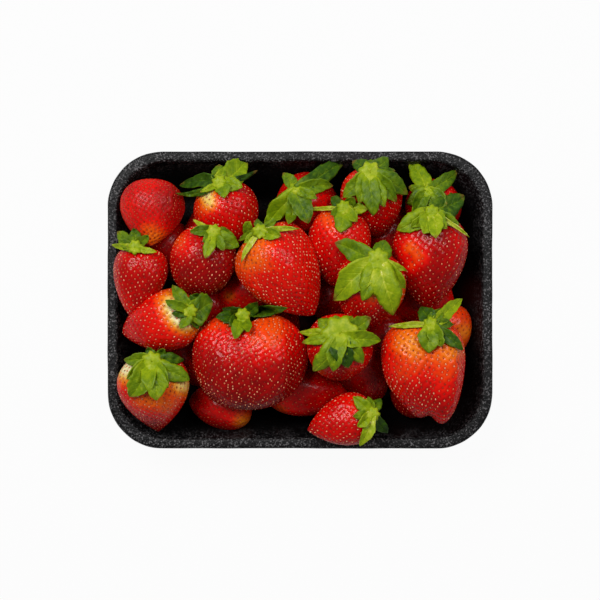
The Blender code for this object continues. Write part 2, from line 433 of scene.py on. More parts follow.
def wrapMap(rows, columns):
    # sheet coordinates for the corners of a wrapped grid with a cap of triangles at both ends
    across = np.arange(columns + 1) / columns
    down = np.arange(rows + 2) / (rows + 1)
    row, column = np.divmod(np.arange((rows - 1) * columns), columns)
    corners = [(column, row + 2), (column + 1, row + 2), (column + 1, row + 1), (column, row + 1)]
    body = np.stack([np.stack([across[c], down[r]], axis=-1) for c, r in corners], axis=1)
    middle = (across[:-1] + across[1:]) / 2
    first, last = np.full(columns, down[1]), np.full(columns, down[-2])
    zero, one = np.zeros(columns), np.ones(columns)
    stem = np.stack([[middle, zero], [across[:-1], first], [across[1:], first]]).transpose(2, 0, 1)
    tip = np.stack([[middle, one], [across[1:], last], [across[:-1], last]]).transpose(2, 0, 1)
    return np.concatenate([part.reshape(-1, 2) for part in (body, stem, tip)])


def wrapFaces(rows, columns):
    # the matching faces; the two poles are the last two points
    ring = np.arange(columns)
    following = (ring + 1) % columns
    last = (rows - 1) * columns
    pole = rows * columns
    body = gridFaces(rows, columns, True)[:, ::-1]
    stem = np.stack([np.full(columns, pole), ring, following], axis=1)
    tip = np.stack([np.full(columns, pole + 1), last + following, last + ring], axis=1)
    return [body, stem, tip]


def ripeness(berry, points, share, columns):
    # the berry's own ripeness, paler at the shoulder, plus a soft round patch for each listed place: paler
    # ones are the fruit's blush, darker ones are painted shade
    ripe = np.full(len(points), float(berry["ripe"]))
    ripe[:-2] -= berryForm["shoulderPale"] * np.exp(-(np.repeat(share.ravel(), columns) / 0.12) ** 2)
    for x, y, reach, change in berry.get("blushAndShade", []):
        away = np.hypot(points[:, 0] - x, points[:, 1] - y) / reach
        ripe += change * np.exp(-(away**2))
    return ripe


def makeBerry(name, berry, skin, order):
    # a grid of turn and share, pressed in at each seed and swollen between them, then put in its place
    rng = np.random.default_rng(100 + order)
    strength = berry.get("lumps", berryForm["lumps"])
    lumps = [(strength * rng.uniform(0.4, 1), rng.uniform(0, 6.28), rng.uniform(-3, 3)) for _ in range(4)]
    shaded = name.startswith(("low", "bottom"))
    pitch = berryForm["lowMesh" if shaded else "mesh"]
    _, radius, run = profileRun(berry, lumps)
    columns = int(2 * np.pi * radius.max() / pitch)
    rows = int(run[-1] * 1.25 / pitch)
    turn = np.arange(columns)[None, :] * 2 * np.pi / columns
    share = ((1 - np.cos(np.linspace(0, np.pi, rows + 2)[1:-1])) / 2)[:, None]
    smooth = fleshPoints(berry, lumps, turn, share)
    normals = fleshNormals(berry, lumps, turn, share)
    seedTurns, seedShares = seedPlaces(berry, lumps)
    seedTurns = seedTurns + rng.normal(0, 0.03, len(seedTurns))
    seeds = fleshPoints(berry, lumps, seedTurns, seedShares)
    spacing = berry.get("spacing", berryForm["spacing"])
    gap = nearestSeed(smooth, seeds)
    pit = np.exp(-((gap / berryForm["pitRadius"]) ** 2))
    puff = 1 - np.exp(-((gap / (0.55 * spacing)) ** 2))
    pitDepth = berry.get("pitDepth", berryForm["pitDepth"])
    local = smooth + normals * (berryForm["puff"] * puff - pitDepth * pit)[..., None]
    turned = berryFrame(berry)
    middle = np.array(berry["place"], float)
    poles = fleshPoints(berry, lumps, np.zeros(2), np.array([0.0, 1.0]))
    points = np.concatenate([local.reshape(-1, 3), poles]) @ turned + middle
    marks = {
        # ripe holds the ripeness with the fruit's blush and also the painted shade of its darker patches
        "ripe": ripeness(berry, points, share, columns),
        "pit": np.concatenate([pit.ravel(), [0, 0]]),
        "dull": np.full(len(points), berry.get("dull", 0.0)),
    }
    faces = wrapFaces(rows, columns)
    makePiece("berry_" + name, points * mm, faces, skin, marks, wrapMap(rows, columns))
    return {
        "points": points,
        "seeds": seeds @ turned + middle,
        "seedNormals": fleshNormals(berry, lumps, seedTurns, seedShares) @ turned,
        "tip": -turned[2],
        # low fruit in the heap's shadow get darker seeds by default: painted shade
        "tones": rng.uniform(0, berry.get("paleSeeds", 0.35 if shaded else 0.9), len(seeds)),
    }


seedForm = {
    "length": 1.1,
    "width": 0.68,
    "height": 0.42,
    "sunk": 0.18,  # below the undented skin
    "around": 8,
    "smallest": 0.8, "growth": 0.35,  # share of full size, and how much larger the palest seeds are
    "lowest": 16,  # seeds below this height are out of sight under the heap and are left out
}


def makeSeeds(grown, material):
    # each seed is a low pointed dome lying in its pit, its long axis towards the berry's tip
    form = seedForm
    ring = np.arange(form["around"])
    turn = ring * 2 * np.pi / form["around"]
    edgeX = form["length"] / 2 * np.cos(turn)
    edgeY = form["width"] / 2 * np.sin(turn)
    edge = np.stack([edgeX, edgeY, 0 * turn], axis=-1)
    shape = np.concatenate([edge, [[0.0, 0.0, form["height"]]]])
    dome = np.stack([ring, np.roll(ring, -1), np.full(form["around"], form["around"])], axis=1)
    under = ring[None, ::-1]

    centres = np.concatenate([berry["seeds"] for berry in grown])
    normals = np.concatenate([berry["seedNormals"] for berry in grown])
    tips = np.concatenate([np.tile(berry["tip"], (len(berry["seeds"]), 1)) for berry in grown])
    tones = np.concatenate([berry["tones"] for berry in grown])
    shown = (centres[:, 2] > form["lowest"]) & (normals[:, 2] > -0.5)
    centres, normals, tips, tones = centres[shown], normals[shown], tips[shown], tones[shown]
    forward = tips - (tips * normals).sum(1, keepdims=True) * normals
    forward = forward / np.maximum(np.linalg.norm(forward, axis=1, keepdims=True), 1e-6)
    axes = np.stack([forward, np.cross(normals, forward), normals], axis=1)
    growth = form["smallest"] + form["growth"] * tones
    placed = np.einsum("kp,nps->nks", shape, axes) * growth[:, None, None]
    placed = placed + (centres - normals * form["sunk"])[:, None, :]
    starts = (np.arange(len(centres)) * len(shape))[:, None, None]
    faces = [(part[None] + starts).reshape(-1, part.shape[1]) for part in (dome, under)]
    print("seeds:", len(centres))
    marks = {"tone": np.repeat(tones, len(shape))}
    makePiece("seeds", placed.reshape(-1, 3) * mm, faces, material, marks)


# Each crown of leaves: leaf rows are (bearing round Z from +X, length, width, tone), with tone 0 dark
# green, 0.5 mid green, 0.8 yellow green and 1 pale; a fifth number bends the tip sideways, as a share of
# the length; stub: length of the stalk left on it; disc: radius of the green disc that the leaves grow
# from; raise: how far the leaf tips stand up.
crowns = {
    "back": {"at": (-37, 54), "raise": 4, "leaves": [
        (40, 17, 12, 0.66), (-12, 11, 7, 0.7), (168, 20, 6.5, 0.2, 0.2), (5, 19, 3, 0.1, 0.25),
        (-145, 10, 3, 0.8, -0.1), (-146, 21, 3.5, 0.35, -0.3), (95, 9, 7, 0.5), (-60, 8, 7, 0.6)]},
    "backInner": {"at": (-39, 31), "leaves": [
        (170, 11, 5, 0.45), (-105, 13, 5.5, 0.75), (-40, 13.5, 8, 0.6), (155, 12, 2.5, 0.95, -0.1),
        (-10, 9, 5, 0.5), (-65, 10, 5, 0.5), (-140, 7, 4, 0.5)]},
    "heart": {"at": (-18, 31), "leaves": [
        (-10, 10, 5.5, 0.7), (-135, 17, 2.8, 0.95, 0.25), (10, 18, 2.5, 0.9, -0.1), (-150, 9, 4, 0.75),
        (30, 9, 4, 0.5), (-170, 11, 3, 0.6, 0.2), (100, 6, 4, 0.4)]},
    "leftFront": {"at": (-50, -5), "leaves": [
        (125, 14.5, 6, 0.5), (10, 11, 13, 0.42), (160, 12, 4.5, 0.55), (-110, 9, 5, 0.6), (70, 9, 6, 0.35),
        (-60, 9, 6, 0.35), (195, 8, 4, 0.3)]},
    "cornerFrontLeft": {"at": (-67, -28), "stub": 3, "disc": 4.5, "leaves": [
        (-115, 19.5, 11, 0.6), (-82, 17.5, 11, 0.66), (-30, 19, 9, 0.6), (170, 14, 6, 0.55, 0.1),
        (45, 8, 5, 0.4), (-155, 14, 6, 0.7), (10, 14, 6, 0.3), (110, 7, 5, 0.35), (-55, 14, 8, 0.55)]},
    "fan": {"at": (-26, -7), "leaves": [
        (180, 12.5, 6, 0.3), (15, 21, 5, 0.3, -0.1), (-110, 11, 6, 0.6), (160, 11, 5, 0.25),
        (35, 9, 6, 0.35), (-65, 8, 5, 0.6), (-150, 8, 5, 0.35)]},
    "front": {"at": (33, -52), "leaves": [
        (140, 12, 6, 0.7), (-150, 9, 5, 0.75), (-105, 16, 5.5, 0.85), (-55, 12, 6, 0.15), (65, 8, 5, 0.4),
        (-175, 9, 5, 0.65), (100, 8, 4, 0.6)]},
    "upright": {"at": (18, -15.5), "stub": 0.6, "disc": 8, "raise": 1.5, "leaves": [
        (180, 18.5, 4.5, 0.85), (-160, 18, 5, 0.75), (-118, 21, 10, 0.66), (-80, 15.5, 10, 0.2),
        (-48, 17, 8, 0.62), (-15, 19, 8, 0.66), (25, 16, 9, 0.55), (100, 9, 8, 0.6), (150, 12, 8, 0.62),
        (60, 10, 8, 0.6), (-100, 17, 8, 0.62)]},
    "cornerFrontRight": {"at": (59, -11), "leaves": [
        (-100, 13, 10, 0.6), (-35, 19, 6, 0.3), (30, 20, 6.5, 0.75), (120, 9, 8, 0.25),
        (178, 19, 2.8, 0.9, 0.1), (60, 9, 6, 0.45), (-65, 11, 7, 0.55), (5, 11, 5, 0.4)]},
    "right": {"at": (60, 40), "leaves": [
        (-152, 18, 9, 0.7), (-118, 11, 8, 0.7), (-78, 12.5, 7, 0.8), (-20, 14, 6, 0.6), (20, 19, 11, 0.3),
        (-28, 21, 1.8, 1.0, -0.1), (-135, 12, 6, 0.65), (-50, 10, 6, 0.65)]},
    "centreRight": {"at": (35, 18), "disc": 5, "leaves": [
        (-140, 27, 13, 0.76), (-116, 20, 9, 0.68), (-68, 26.5, 13, 0.78), (160, 21, 10, 0.5),
        (65, 10, 9, 0.45), (-12, 14.5, 3.5, 0.9, -0.15), (-45, 18, 8, 0.72)]},
    "centre": {"at": (20, 42), "leaves": [
        (-105, 12, 8.5, 0.62), (-10, 11, 6, 0.85), (145, 8, 6, 0.3), (178, 19, 2, 0.92, 0.06),
        (50, 7, 5, 0.5), (-50, 9, 5, 0.7), (-150, 7, 4, 0.5)]},
    "lowBack": {"at": (-2, 51), "raise": 3.5, "leaves": [
        (-125, 22.5, 9, 0.66), (-70, 17, 9.5, 0.4), (25, 28, 9, 0.25, 0.12), (12, 18, 7, 0.5, -0.1),
        (125, 10, 6, 0.5), (-20, 11, 5, 0.6), (-100, 17, 7, 0.6), (-145, 15, 5, 0.55)]},
    "backRight": {"at": (32, 58), "stub": 3, "disc": 5, "leaves": [
        (140, 10, 7, 0.3), (40, 12, 8, 0.42), (-25, 20, 9, 0.45), (-45, 18, 7, 0.5), (-145, 17, 8, 0.6),
        (-92, 20, 9, 0.5), (90, 7, 6, 0.4), (-118, 15, 8, 0.6), (-68, 17, 7, 0.62), (0, 12, 6, 0.4)]},
    "lowCorner": {"at": (59, 50), "raise": 4, "leaves": [
        (112, 17, 8.5, 0.66), (-30, 11, 8, 0.5), (25, 19, 7, 0.42, 0.2), (60, 12, 3, 0.2, -0.4),
        (-160, 11, 7, 0.5), (-125, 13, 7, 0.45), (165, 9, 5, 0.55), (-70, 9, 6, 0.5)]},
    "left": {"at": (-75, 24), "leaves": [
        (140, 12, 6.5, 0.5), (-180, 12, 3, 0.85), (-15, 10, 3, 0.85), (95, 9, 6, 0.35), (170, 9, 5, 0.4),
        (50, 8, 5, 0.45)]},
    "stray": {"at": (-24, 36), "leaves": [(-85, 8.5, 4.5, 0.55)]},
}

leafForm = {
    "along": 26,  # points along and across a leaf
    "across": 11,
    "thickness": 0.35,
    "clear": 0.5,  # height over what it lies on
    "raise": 2.2,  # how far the tips stand up
    "fall": 0.7,  # steepest way down past an edge, as a slope
    "fold": 0.36,  # how far the halves rise from the midrib, as a share of the half width
    "layer": 0.4,  # step in height from one leaf of a crown to the next
    "teeth": 0.07,  # share of the half width
    "lean": 0.06,  # how far the blade wanders off its spine, share of the width
    "edgeWave": 0.4,
    "crumple": 0.22,
    "least": 0.3,  # least height over the fruit
    "disc": 3.2,
    "discDrop": 2.2,  # how far a disc bends down past the fruit's edge
}


def heapTop(grown):
    # heights of the fruit's upper surface on a 1 mm grid: the highest point in and next to each square
    halfX, halfY = 110, 90
    heights = np.full((2 * halfY + 1, 2 * halfX + 1), -1.0)
    points = np.concatenate([berry["points"] for berry in grown])
    column = np.rint(points[:, 0]).astype(int) + halfX
    row = np.rint(points[:, 1]).astype(int) + halfY
    np.maximum.at(heights, (row, column), points[:, 2])
    padded = np.pad(heights, 1, mode="edge")
    heights = np.maximum.reduce([padded[1:-1, 1:-1], padded[:-2, 1:-1], padded[2:, 1:-1],
                                 padded[1:-1, :-2], padded[1:-1, 2:]])

    def heightAt(x, y):
        # the grid read between its squares
        gridX, gridY = x + halfX, y + halfY
        left, low = np.floor(gridX).astype(int), np.floor(gridY).astype(int)
        shareX, shareY = gridX - left, gridY - low
        lower = heights[low, left] * (1 - shareX) + heights[low, left + 1] * shareX
        upper = heights[low + 1, left] * (1 - shareX) + heights[low + 1, left + 1] * shareX
        return lower * (1 - shareY) + upper * shareY

    return heightAt


def leafMarks(count, across, along, tone):
    # place across and along the leaf, and tone, for each of its points
    flat = np.zeros(count)
    return {"across": flat + across, "along": flat + along, "tone": flat + tone}


def leafPoints(start, row, raised, heightAt, rng):
    # the spine runs out along its bearing, keeps just over the fruit and falls no faster than a set slope
    # past an edge; half width is (0.42 + 1.9 t)(1 - t)^0.85 with small teeth, uneven between its two sides;
    # the halves fold up from the midrib, twist towards the tip, wave at the edge and crumple a little
    bearing, length, width, tone = row[:4]
    bend = row[4] if len(row) > 4 else rng.uniform(-0.14, 0.14)
    along, across = leafForm["along"], leafForm["across"]
    t = np.linspace(0, 1, along)
    angle = math.radians(bearing)
    forward = np.array([math.cos(angle), math.sin(angle)])
    side = np.array([-forward[1], forward[0]])
    run = length * (t - 0.25 * abs(bend) * t**2)
    spine = start[:2] + np.outer(run, forward) + np.outer(bend * length * t**2, side)
    lift = raised * rng.uniform(0.2, 1.4)
    rest = heightAt(spine[:, 0], spine[:, 1]) + leafForm["clear"] + start[2] + lift * t**2.2
    fallen = leafForm["fall"] * length * t
    height = np.maximum.accumulate(rest + fallen) - fallen
    for _ in range(4):
        height[1:-1] = (height[:-2] + 2 * height[1:-1] + height[2:]) / 4
    w = np.linspace(-1, 1, across)
    shape = (0.42 + 1.9 * t) * (1 - t) ** 0.85
    saw = 2 * np.mod(t * rng.uniform(4, 6), 1) - 1
    teeth = 1 + leafForm["teeth"] * np.clip(2 * t - 0.4, 0, 1) * saw
    half = width / 2 * shape / shape.max() * teeth
    lean = leafForm["lean"] * np.sin(5 * t + rng.uniform(0, 6))
    uneven = 0.08 * np.sin(7 * t + rng.uniform(0, 6)) + 0.04 * np.sin(17 * t + rng.uniform(0, 6))
    sides = 1 + np.sign(w)[None, :] * uneven[:, None]
    reach = w[None, :] * half[:, None] * sides + lean[:, None] * width
    x = spine[:, None, 0] + side[0] * reach
    y = spine[:, None, 1] + side[1] * reach
    fold = leafForm["fold"] * rng.uniform(0.2, 1.5)
    roll = rng.uniform(-0.5, 0.25)
    twist = rng.uniform(-0.35, 0.35)
    wave = leafForm["edgeWave"] * np.sin(11 * t + rng.uniform(0, 6))[:, None] * w[None, :] ** 2
    crumple = np.sin(1.7 * x + rng.uniform(0, 6)) * np.sin(1.5 * y + rng.uniform(0, 6))
    wave = wave + leafForm["crumple"] * crumple
    rise = fold * np.abs(w) + roll * w**4
    z = height[:, None] + half[:, None] * (rise[None, :] + twist * t[:, None] * w[None, :]) + wave
    z = np.maximum(z, heightAt(x, y) + leafForm["least"])
    marks = leafMarks(along * across, np.tile(w, along), np.repeat(t, across), tone)
    return np.stack([x, y, z], axis=-1).reshape(-1, 3), marks


def discPoints(x, y, size, heightAt):
    # the green disc that a crown's leaves grow from: a shallow lobed dome laid over the fruit
    turns, levels = 36, 8
    share = np.linspace(0.03, 1, levels)[:, None]
    turn = np.arange(turns)[None, :] * 2 * np.pi / turns
    radius = size * share * (1 + 0.13 * share * np.sin(7 * turn + x))
    placeX, placeY = x + radius * np.cos(turn), y + radius * np.sin(turn)
    rest = heightAt(placeX, placeY)
    rest = np.maximum(rest, rest.max() - leafForm["discDrop"])
    height = rest.max() + (rest - rest.max()) * 0.8 + leafForm["clear"] + 1.3 * (1 - share**3)
    points = np.stack([placeX, placeY, height], axis=-1)
    return points.reshape(-1, 3), gridFaces(levels, turns, True), leafMarks(turns * levels, 0.4, 0.12, 0.7)


def stubPoints(root, direction, length):
    # the cut stalk: a short round rod that widens a little towards its foot, closed at the cut
    turns = 14
    share = np.array([0.0, 0.3, 0.7, 0.95, 1.0, 1.0])[:, None]
    radius = np.array([1.5, 1.05, 0.95, 0.9, 0.75, 0.05])[:, None]
    turn = np.arange(turns)[None, :] * 2 * np.pi / turns
    side = np.cross(direction, [0.0, 0.0, 1.0])
    side = side / np.linalg.norm(side)
    up = np.cross(side, direction)
    circle = np.cos(turn)[..., None] * side + np.sin(turn)[..., None] * up
    points = root + (share * length)[..., None] * direction + radius[..., None] * circle
    marks = leafMarks(len(share) * turns, 0.4, 0.15, 0.72)
    return points.reshape(-1, 3), gridFaces(len(share), turns, True), marks


def makeCrown(name, crown, heightAt, material, order):
    # all leaves of one berry, the disc they grow from and the stalk's stub, given thickness
    rng = np.random.default_rng(500 + order)
    x, y = crown["at"]
    top = float(heightAt(np.array(float(x)), np.array(float(y)))) + leafForm["clear"]
    parts = []
    raised = crown.get("raise", leafForm["raise"])
    for number, row in enumerate(crown["leaves"]):
        layer = leafForm["layer"] * (number % 3)
        points, marks = leafPoints(np.array([x, y, layer]), row, raised, heightAt, rng)
        parts.append((points, gridFaces(leafForm["along"], leafForm["across"], False)[:, ::-1], marks))
    if name in berries:  # a loose leaf has no disc
        parts.append(discPoints(x, y, crown.get("disc", leafForm["disc"]), heightAt))
        if "stub" in crown:
            stem = berryFrame(berries[name])[2] + np.array([0, 0, 0.5])
            root = np.array([x, y, top + 1.0])
            parts.append(stubPoints(root, stem / np.linalg.norm(stem), crown["stub"]))
    starts = np.cumsum([0] + [len(part[0]) for part in parts[:-1]])
    points = np.concatenate([part[0] for part in parts])
    faces = [part[1] + offset for part, offset in zip(parts, starts)]
    marks = {key: np.concatenate([part[2][key] for part in parts]) for key in parts[0][2]}
    piece = makePiece("leaves_" + name, points * mm, faces, material, marks)
    solid = piece.modifiers.new("thickness", "SOLIDIFY")
    solid.thickness = leafForm["thickness"] * mm
    solid.offset = 0.0


trayForm = {
    "length": 180, "width": 139, "height": 30,
    "corner": 26, "leastCorner": 6, "tightening": 0.45,  # corner radius lost for each millimetre of inset
    "rim": 5, "drop": 4, "round": 1.5, "overhang": 0.6,
    "lipMiddle": 2.4, "lipInset": 1.1,  # insets along the rim's underside
    "edgeRound": 0.9,  # of the rim's lower edge
    "foam": 3.2, "run": 13, "footMargin": 1.5, "footRound": 2.5,
    "floorLift": 1.2, "floorMiddle": 0.35, "floorEase": 4, "flat": 20,
    "cornerSteps": 30, "sideSteps": 40,
    "waver": 0.12,  # unevenness of the moulded edge
}


def arcLine(inset, height, radius, start, end, steps):
    # points of an arc in the tray's section; angle 0 points inwards and 90 up
    angle = np.radians(np.linspace(start, end, steps))
    return np.stack([inset + radius * np.cos(angle), height + radius * np.sin(angle)], axis=-1)


def wallLine(top, bottom, steps):
    # a wall that is steepest at the top and eases out towards its foot: run = share^1.25
    share = np.linspace(0, 1, steps + 1)[1:]
    inset = top[0] + (bottom[0] - top[0]) * share**1.25
    height = top[1] + (bottom[1] - top[1]) * share
    return np.stack([inset, height], axis=-1)


def traySection():
    # (inset, height) from the middle of the underside round the rim to the floor, and how many of the
    # last points lie inside the tray
    form = trayForm
    foam = form["foam"]
    ease = form["floorEase"]
    edgeRound = form["edgeRound"]
    rimHeight = form["height"] - form["round"]
    underside = form["height"] - form["drop"]
    foot = form["rim"] + form["run"] + form["footMargin"]
    outerTop = (form["rim"] - form["overhang"], underside)
    base = np.array([
        (foot + form["flat"], 0.0), (foot + ease, 0.0), (foot, 0.0),
        (foot - 0.45 * foam, 0.18 * form["footRound"]), (foot - 0.8 * foam, 0.52 * form["footRound"]),
    ])
    outer = wallLine(outerTop, (foot - foam, form["footRound"]), 14)[::-1]
    lip = np.array([outerTop, (form["lipMiddle"], underside), (form["lipInset"], underside)])
    edge = arcLine(edgeRound, underside + edgeRound, edgeRound, 260, 190, 5)
    over = arcLine(form["round"], rimHeight, form["round"], 180, 90, 9)
    inward = arcLine(form["rim"] - form["round"], rimHeight, form["round"], 90, 20, 9)
    inner = wallLine(inward[-1], (foot, foam + form["floorLift"]), 18)
    floor = np.array([
        (foot + ease / 2, foam + form["floorMiddle"]), (foot + ease, foam), (foot + form["flat"], foam),
    ])
    section = np.concatenate([base, outer, lip, edge, over, inward, inner, floor])
    return section, len(inner) + len(floor)


def perimeter():
    # (corner sign x, corner sign y, outline direction) round a rounded rectangle: each corner, then the
    # side to the next one
    steps, sides = trayForm["cornerSteps"], trayForm["sideSteps"]
    signX, signY, angle = [], [], []
    for corner in range(4):
        sx = 1 if corner in (0, 3) else -1
        sy = 1 if corner < 2 else -1
        nextX = 1 if (corner + 1) % 4 in (0, 3) else -1
        nextY = 1 if (corner + 1) % 4 < 2 else -1
        turn = math.pi / 2 * (corner + np.linspace(0, 1, steps, endpoint=False))
        share = np.linspace(0, 1, sides, endpoint=False)
        signX += [np.full(steps, sx), sx + (nextX - sx) * share]
        signY += [np.full(steps, sy), sy + (nextY - sy) * share]
        angle += [turn, np.full(sides, math.pi / 2 * (corner + 1))]
    return np.concatenate(signX), np.concatenate(signY), np.concatenate(angle)


def makeTray(material):
    # every ring is a rounded rectangle whose corners tighten inwards, with a slow waver in its inset
    section, innerRows = traySection()
    signX, signY, angle = perimeter()
    inset = section[:, 0][:, None]
    radius = np.maximum(trayForm["corner"] - trayForm["tightening"] * inset, trayForm["leastCorner"])
    count = len(angle)
    lap = np.arange(count) * 2 * np.pi / count
    waver = trayForm["waver"] * (np.sin(7 * lap + 1) + np.sin(17 * lap + 2) + 0.6 * np.sin(41 * lap)) / 2.6
    bend = radius + (waver - trayForm["waver"])
    x = signX * (trayForm["length"] / 2 - inset - radius) + bend * np.cos(angle)
    y = signY * (trayForm["width"] / 2 - inset - radius) + bend * np.sin(angle)
    z = np.repeat(section[:, 1][:, None], count, axis=1)
    points = np.stack([x, y, z], axis=-1).reshape(-1, 3)
    rows = len(section)
    body = gridFaces(rows, count, True)
    under = np.arange(count)[None, ::-1]
    floor = (rows - 1) * count + np.arange(count)[None, :]
    marks = {
        "inside": np.repeat((np.arange(rows) >= rows - innerRows).astype(float), count),
        "rise": np.repeat(section[:, 1], count) / trayForm["height"],
    }
    tray = makePiece("foam_tray", points * mm, [body, under, floor], material, marks)
    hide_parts("tray")


coreForm = {
    "length": 128, "width": 86, "low": 3.6, "top": 14,
    "taper": 5,  # how much narrower the foot is on each side
    "lid": 2,  # how far the lid is domed
    "lump": 1.2,
    "squareness": 5.0,  # power of the outline, 2 for an oval
}


def makeCore(material):
    # a low block of fruit in shadow: |x|^p + |y|^p = 1 for the outline, walls that widen upwards, and a
    # domed lid with lumps sin(x) sin(y)
    form = coreForm
    turns, levels = 160, 26
    lap = np.linspace(0, 2 * np.pi, turns, endpoint=False)[None, :]
    wall = np.linspace(0, 1, 6)[:, None]
    lid = np.linspace(1, 0.02, levels - 6)[:, None]
    power = form["squareness"]
    reach = (np.abs(np.cos(lap)) ** power + np.abs(np.sin(lap)) ** power) ** (-1 / power)
    eaves = form["top"] - form["lid"]
    wallX = (form["length"] / 2 - form["taper"] * (1 - wall)) * reach * np.cos(lap)
    wallY = (form["width"] / 2 - form["taper"] * (1 - wall)) * reach * np.sin(lap)
    wallZ = form["low"] + (eaves - form["low"]) * wall + 0 * lap
    lidX = form["length"] / 2 * lid * reach * np.cos(lap)
    lidY = form["width"] / 2 * lid * reach * np.sin(lap)
    lumps = form["lump"] * np.sin(lidX * 0.22) * np.sin(lidY * 0.25) * (1 - lid**4)
    lidZ = eaves + form["lid"] * (1 - lid**6) + lumps
    points = np.concatenate([
        np.stack([wallX, wallY, wallZ], axis=-1).reshape(-1, 3),
        np.stack([lidX, lidY, lidZ], axis=-1).reshape(-1, 3),
    ])
    body = gridFaces(levels, turns, True)
    bottom = np.arange(turns)[None, ::-1]
    top = (levels - 1) * turns + np.arange(turns)[None, :]
    core = makePiece("heap_core", points * mm, [body, bottom, top], material)
    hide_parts("berries")


# sizes in these looks are millimetres, colours are display values and the rest are shares
skinLook = {
    "slowSize": 9, "slowShift": 0.2,  # noise and how far it shifts the ripeness
    "middleSize": 4, "middleShift": 0.1,
    "fineSize": 1.6, "fineShift": 0.12,
    # painted shade in the seed pits, with some of their deeper red: its tint and how much of it
    "pitShadeTint": (190, 140, 130), "pitShade": 0.8,
    "roughness": 0.24, "roughSlow": 0.2, "roughPit": 0.1, "roughDull": 0.3,
    "bumpDepth": 0.06, "bumpStrength": 0.4,
    "stops": [  # ripeness from 0 to 1 and its colour
        (0.00, (230, 218, 165)), (0.18, (224, 188, 92)), (0.36, (226, 124, 20)), (0.52, (228, 74, 8)),
        (0.66, (220, 20, 4)), (0.76, (200, 7, 2)), (0.87, (158, 3, 2)), (1.00, (108, 1, 2)),
    ],
}


def skinFinish():
    # moist skin: red that shifts slowly over the berry, darker in the pits with painted shade and some of
    # their deeper red, with soft uneven gloss
    look = skinLook
    skin = Finish("strawberrySkin", {
        "Specular IOR Level": 0.18,
        "Coat Weight": 0.05,
        "Coat Roughness": 0.1,
        "Subsurface Weight": 0.08,
        "Subsurface Scale": 0.002,
    })
    slow = skin.noise(look["slowSize"])
    middle = skin.noise(look["middleSize"])
    fine = skin.noise(look["fineSize"])
    pit = skin.mark("pit")
    shift = slow * look["slowShift"] + middle * look["middleShift"] + fine * look["fineShift"]
    # the ripe mark holds the blush and also painted shade on the side of each berry away from the lamps
    flesh = skin.ramp(skin.mark("ripe") + shift, look["stops"])
    # the pits darkened: painted shade in the dimples, together with some of the deeper red of the pits
    colour = skin.blend(pit * look["pitShade"], flesh, linear(look["pitShadeTint"]), "MULTIPLY")
    gloss = slow * look["roughSlow"] + pit * look["roughPit"] + skin.mark("dull") * look["roughDull"]
    bump = skin.bump(fine, look["bumpDepth"], look["bumpStrength"])
    return skin.cover(Base_Color=colour, Roughness=gloss + look["roughness"], Normal=bump)


# tone of a seed from 0 to 1 and its colour
seedStops = [(0.0, (120, 34, 16)), (0.3, (206, 92, 52)), (0.6, (228, 132, 88)), (1.0, (244, 190, 148))]


def seedFinish():
    # dry husk: red brown to pale straw, one tone for each seed
    seed = Finish("seedHusk", {"Specular IOR Level": 0.3, "Roughness": 0.4})
    return seed.cover(Base_Color=seed.ramp(seed.mark("tone"), seedStops))


leafLook = {
    "leafTone": 0.84,  # share of the leaf's own tone; the rest add to it
    "mottleSize": 3, "mottle": 0.5,
    "grainSize": 1, "grain": 0.25,
    "midrib": 0.13, "sideVein": 0.09, "base": 0.2, "rim": 0.08,
    "veins": 6,  # pairs of side veins
    "drySize": 6, "dryShare": 0.8, "dryTint": (120, 84, 34),
    "bumpDepth": 0.35, "bumpStrength": 0.8,
    "stops": [  # tone from 0 to 1 and its colour
        (0.0, (18, 36, 5)), (0.25, (50, 82, 9)), (0.5, (98, 124, 9)), (0.72, (134, 154, 10)),
        (0.88, (168, 176, 44)), (1.0, (214, 212, 140)),
    ],
}


def leafFinish():
    # green by tone, paler along the midrib, the side veins and the very edge, yellow towards the stalk
    # and dry at a few tips
    look = leafLook
    leaf = Finish("leafGreen", {"Specular IOR Level": 0.16, "Roughness": 0.42})
    along = leaf.mark("along")
    spread = leaf.mark("across").unsigned()  # 0 at the midrib and 1 at the edge
    midrib = (1 - spread * 8).bound()
    stripes = ((along * look["veins"] - spread * 1.6) * 6.28).sine()
    sideVein = ((stripes - 0.75) * 4).bound() * (1 - spread)
    rim = ((spread - 0.9) * 10).bound()
    base = (1 - along * 2.4).bound()
    mottle = leaf.noise(look["mottleSize"])
    tone = leaf.mark("tone") * look["leafTone"] + mottle * look["mottle"]
    tone = tone + leaf.noise(look["grainSize"]) * look["grain"]
    tone = tone + midrib * look["midrib"] + sideVein * look["sideVein"]
    tone = tone + base * look["base"] + rim * look["rim"]
    green = leaf.ramp(tone, look["stops"])
    dry = ((along - 0.84) * 8).bound() * (leaf.noise(look["drySize"]) * 9).bound()
    colour = leaf.blend(dry * look["dryShare"], green, linear(look["dryTint"]))
    relief = midrib * -0.7 + sideVein * -0.4 + mottle * 0.7
    return leaf.cover(Base_Color=colour, Normal=leaf.bump(relief, look["bumpDepth"], look["bumpStrength"]))


foamLook = {
    "cellSize": 1.2, "grainSize": 0.85, "patchSize": 6,
    # inner is the near black of the painted shade deep inside the tray
    "dark": (7, 7, 8), "fleck": (92, 91, 92), "inner": (9, 8, 8),
    "fleckLeast": 0.055,  # more leaves fewer flecks
    # under this height inside the tray, painted shade fades the flecks to near black
    "shadeFrom": 0.95,  # height inside, as a share of the tray's, under which the flecks fade
    "roughness": 0.5, "roughGrain": 0.3, "roughInside": 0.18,
    "bumpDepth": 0.3, "bumpStrength": 0.6,
}


